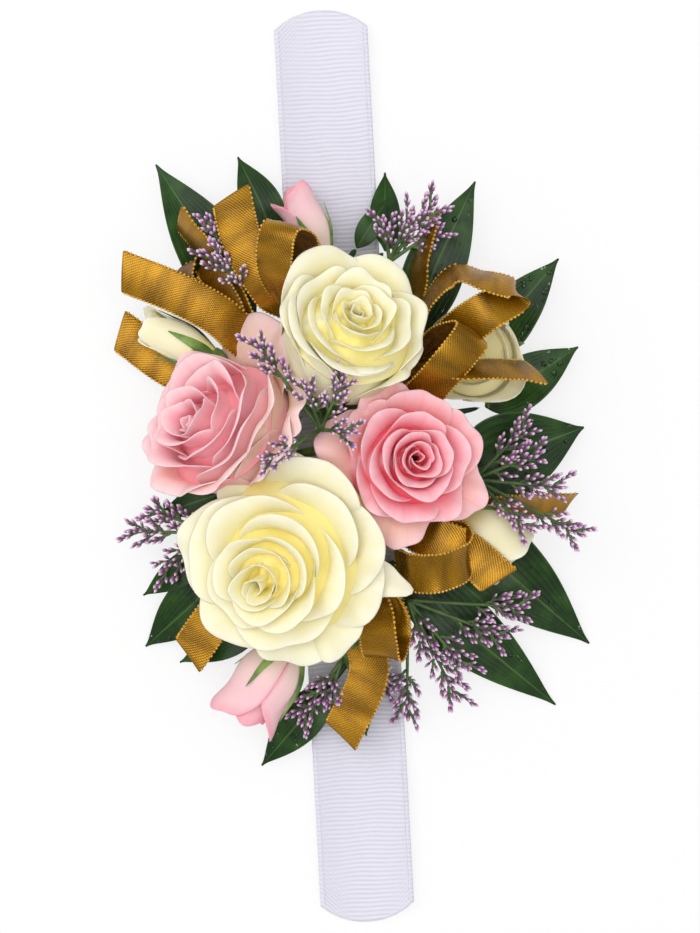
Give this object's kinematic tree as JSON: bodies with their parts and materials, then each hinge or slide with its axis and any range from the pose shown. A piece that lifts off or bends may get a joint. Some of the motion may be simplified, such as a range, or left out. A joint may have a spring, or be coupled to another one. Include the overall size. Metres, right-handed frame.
{
  "type": "wrist corsage",
  "caption": "Wrist corsage of roses, buds, leaves, statice and satin bows on a ribbon-covered slap band whose arms curl under to grip the wrist.",
  "frame": {"origin": "middle of the flat facet under the centre of the band, where it meets the wrist", "axes": "+X across the band, +Y along the straight band, +Z from the wrist to the flowers"},
  "size_m": [0.118, 0.23, 0.0484],
  "materials": {
    "grosgrain": "white ribbed grosgrain ribbon",
    "spring_steel": "bright rolled spring steel",
    "glue": "set hot-melt glue, milky",
    "floral_tape": "green waxed crepe tape",
    "white_petal": "cream petals, yellower inside",
    "pink_petal": "rose pink petals with pale rims",
    "green_stem": "fresh green hips, sepals and stems",
    "leaf": "glossy dark green leaves with fine veins",
    "statice": "papery lilac florets on green twigs",
    "gold_satin": "gold satin ribbon with beaded woven edges"
  },
  "bodies": {
    "corsage": {"centre_sleeve": "grosgrain", "centre_tape": "spring_steel", "glue_pad": "glue", "stem_spine": "floral_tape", "white_rose_lower": "white_petal", "white_rose_lower_calyx": "green_stem", "white_rose_upper": "white_petal", "white_rose_upper_calyx": "green_stem", "pink_rose_left": "pink_petal", "pink_rose_left_calyx": "green_stem", "pink_rose_right": "pink_petal", "pink_rose_right_calyx": "green_stem", "pink_bud_top": "pink_petal", "pink_bud_bottom": "pink_petal", "white_bud_left": "white_petal", "white_bud_right": "white_petal", "white_bud_lower": "white_petal", "bow_top_left": "gold_satin", "bow_left": "gold_satin", "bow_right": "gold_satin", "bow_lower_right": "gold_satin", "bow_bottom": "gold_satin", "ribbon_tail_left": "gold_satin", "leaf_01": "leaf", "leaf_02": "leaf", "leaf_03": "leaf", "leaf_04": "leaf", "leaf_05": "leaf", "leaf_06": "leaf", "leaf_07": "leaf", "leaf_08": "leaf", "leaf_09": "leaf", "leaf_10": "leaf", "leaf_11": "leaf", "leaf_12": "leaf", "leaf_13": "leaf", "leaf_14": "leaf", "statice_01": "statice", "statice_02": "statice", "statice_03": "statice", "statice_04": "statice", "statice_05": "statice", "statice_06": "statice", "statice_07": "statice"},
    "upper_link_1": {"upper_link_1_sleeve": "grosgrain", "upper_link_1_tape": "spring_steel"},
    "upper_link_2": {"upper_link_2_sleeve": "grosgrain", "upper_link_2_tape": "spring_steel"},
    "upper_link_3": {"upper_link_3_sleeve": "grosgrain", "upper_link_3_tape": "spring_steel"},
    "upper_link_4": {"upper_link_4_sleeve": "grosgrain", "upper_link_4_tape": "spring_steel"},
    "lower_link_1": {"lower_link_1_sleeve": "grosgrain", "lower_link_1_tape": "spring_steel"},
    "lower_link_2": {"lower_link_2_sleeve": "grosgrain", "lower_link_2_tape": "spring_steel"},
    "lower_link_3": {"lower_link_3_sleeve": "grosgrain", "lower_link_3_tape": "spring_steel"},
    "lower_link_4": {"lower_link_4_sleeve": "grosgrain", "lower_link_4_tape": "spring_steel"}
  },
  "joints": [
    {"name": "upper_curl_1", "type": "hinge", "parent": "corsage", "child": "upper_link_1", "pos_m": [0, 0.017, 0], "axis": [-1, 0, 0], "range_deg": [0, 50]},
    {"name": "upper_curl_2", "type": "hinge", "parent": "upper_link_1", "child": "upper_link_2", "pos_m": [0, 0.0415, 0], "axis": [-1, 0, 0], "range_deg": [0, 55]},
    {"name": "upper_curl_3", "type": "hinge", "parent": "upper_link_2", "child": "upper_link_3", "pos_m": [0, 0.066, 0], "axis": [-1, 0, 0], "range_deg": [0, 55]},
    {"name": "upper_curl_4", "type": "hinge", "parent": "upper_link_3", "child": "upper_link_4", "pos_m": [0, 0.0905, 0], "axis": [-1, 0, 0], "range_deg": [0, 40]},
    {"name": "lower_curl_1", "type": "hinge", "parent": "corsage", "child": "lower_link_1", "pos_m": [0, -0.017, 0], "axis": [1, 0, 0], "range_deg": [0, 46]},
    {"name": "lower_curl_2", "type": "hinge", "parent": "lower_link_1", "child": "lower_link_2", "pos_m": [0, -0.0415, 0], "axis": [1, 0, 0], "range_deg": [0, 50.6]},
    {"name": "lower_curl_3", "type": "hinge", "parent": "lower_link_2", "child": "lower_link_3", "pos_m": [0, -0.066, 0], "axis": [1, 0, 0], "range_deg": [0, 50.6]},
    {"name": "lower_curl_4", "type": "hinge", "parent": "lower_link_3", "child": "lower_link_4", "pos_m": [0, -0.0905, 0], "axis": [1, 0, 0], "range_deg": [0, 23]}
  ],
  "couplings": [
    {"joint": "upper_curl_2", "follows": "upper_curl_1", "ratio": 1.1},
    {"joint": "upper_curl_3", "follows": "upper_curl_1", "ratio": 1.1},
    {"joint": "upper_curl_4", "follows": "upper_curl_1", "ratio": 0.8},
    {"joint": "lower_curl_2", "follows": "lower_curl_1", "ratio": 1.1},
    {"joint": "lower_curl_3", "follows": "lower_curl_1", "ratio": 1.1},
    {"joint": "lower_curl_4", "follows": "lower_curl_1", "ratio": 0.5}
  ]
}
